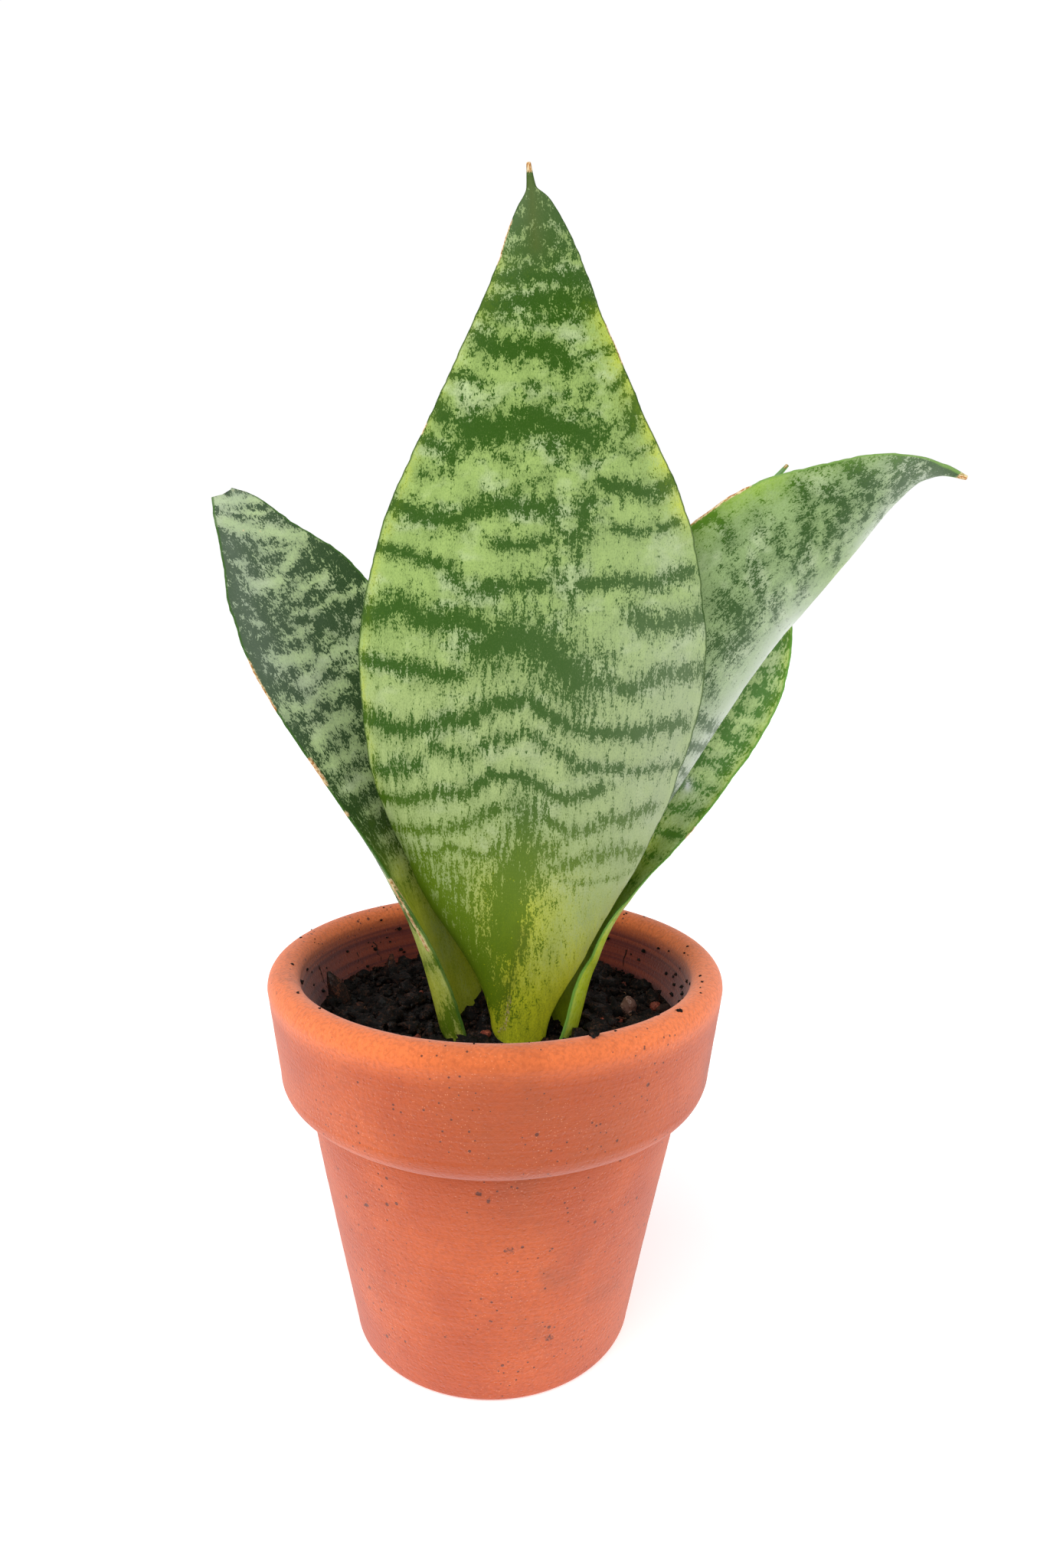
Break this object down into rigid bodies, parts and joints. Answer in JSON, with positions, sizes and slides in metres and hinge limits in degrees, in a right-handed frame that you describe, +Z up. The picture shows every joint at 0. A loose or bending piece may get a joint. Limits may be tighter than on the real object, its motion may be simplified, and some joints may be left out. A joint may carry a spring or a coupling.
{
  "type": "potted snake plant",
  "caption": "Young snake plant with banded upright leaves growing from soil in a small terracotta pot with a thick rim band.",
  "frame": {"origin": "centre of the whole plant's bounding box, on the surface that the pot stands on", "axes": "+Z up, along the longest extent; -Y towards the broad front leaf; +X towards the arching leaf's tip"},
  "size_m": [0.168, 0.1, 0.2443],
  "materials": {
    "terracotta": "unglazed fired clay, matte and slightly porous",
    "soil": "moist crumbly potting soil",
    "front_leaf": "waxy leaf, pale green with dark cross bands",
    "left_leaf": "waxy leaf, dark blue green with pale blotches",
    "right_leaf": "waxy leaf, pale grey green with dark streaks",
    "right_back_leaf": "waxy leaf, bright green with dark blotches",
    "rhizome": "firm fleshy underground stem",
    "root": "fine fibrous root",
    "stone": "smooth pale pebble",
    "clay_grit": "rough broken clay granule",
    "bark": "dry shredded bark"
  },
  "bodies": {
    "root": {"pot": "terracotta", "soil": "soil", "front_leaf": "front_leaf", "left_leaf": "left_leaf", "right_leaf": "right_leaf", "right_back_leaf": "right_back_leaf", "rhizome": "rhizome", "pale_stone": "stone", "root_1": "root", "root_2": "root", "root_3": "root", "root_4": "root", "root_5": "root", "clay_grit_1": "clay_grit", "clay_grit_2": "clay_grit", "clay_grit_3": "clay_grit", "clay_grit_4": "clay_grit", "clay_grit_5": "clay_grit", "bark_chip_1": "bark", "bark_chip_2": "bark", "bark_chip_3": "bark", "rim_twig": "bark", "back_twig": "bark"}
  },
  "joints": []
}
